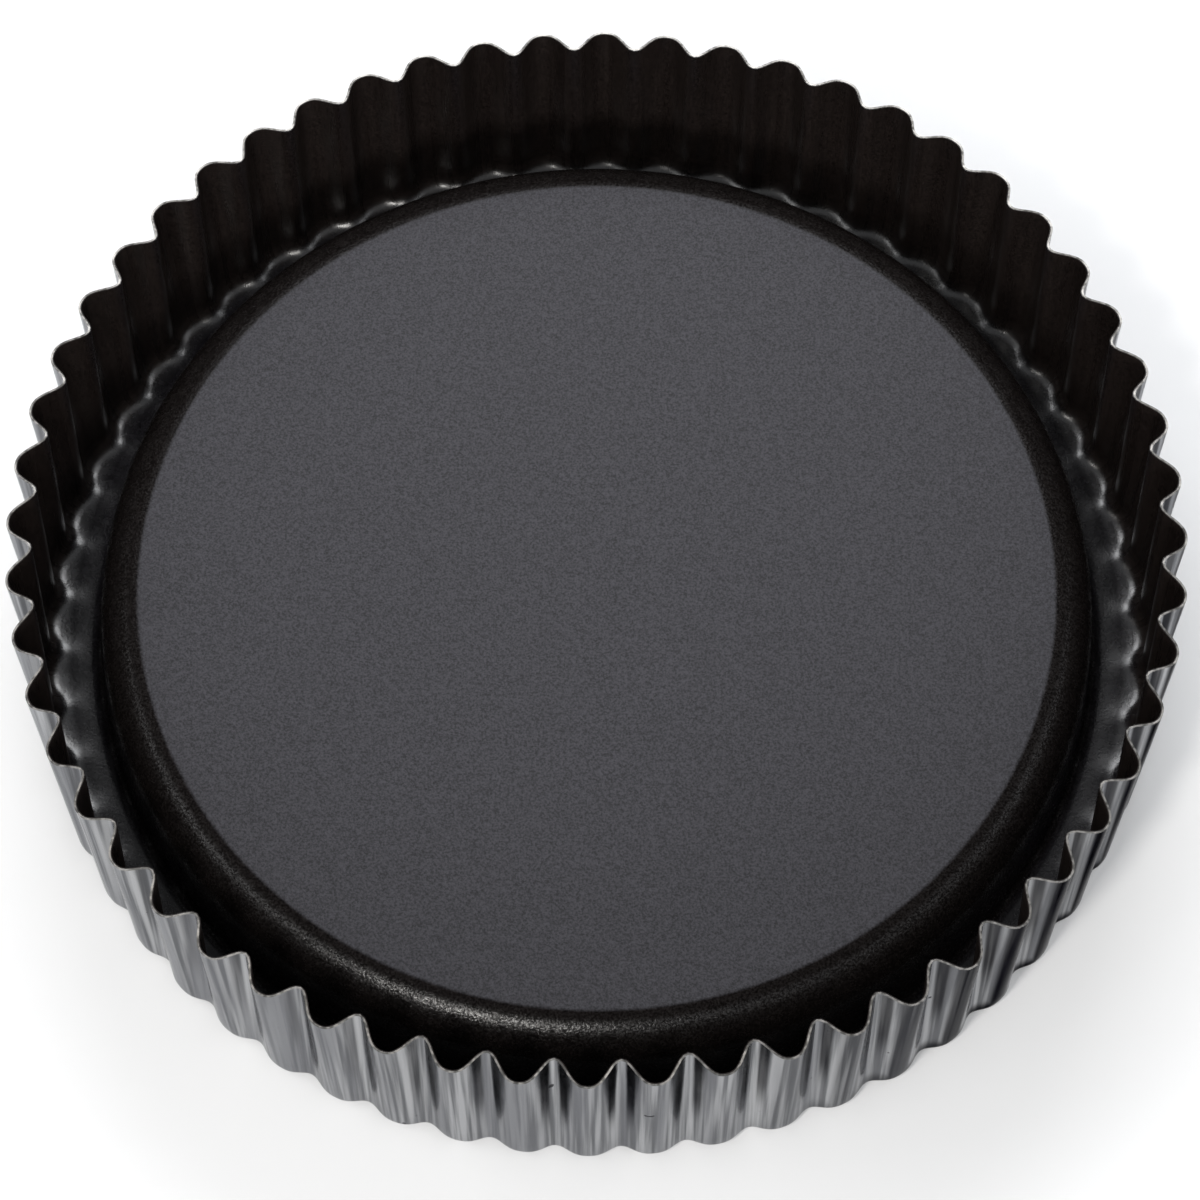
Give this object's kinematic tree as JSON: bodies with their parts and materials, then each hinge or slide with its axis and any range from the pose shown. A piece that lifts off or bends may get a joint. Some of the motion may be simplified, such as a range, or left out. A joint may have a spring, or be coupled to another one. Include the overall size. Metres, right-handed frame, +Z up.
{
  "type": "fluted tart pan",
  "caption": "Round tart pan with a fluted, gently flared wall and a raised centre: steel outside, dark non-stick lining inside.",
  "frame": {"origin": "on the surface the pan stands on, at the pan's axis", "axes": "+Z up along the pan's axis, out of its open side; +X through the middle of an outward bulge of the fluted wall"},
  "size_m": [0.24, 0.24, 0.05],
  "materials": {
    "bare_steel": "pressed sheet steel, satin grey with faint upright draw marks",
    "nonstick_coat": "dark charcoal non-stick coat, fine speckle, semi-gloss on the wall and satin on the raised centre"
  },
  "bodies": {
    "root": {"pan_shell": "bare_steel", "nonstick_lining": "nonstick_coat"}
  },
  "joints": []
}
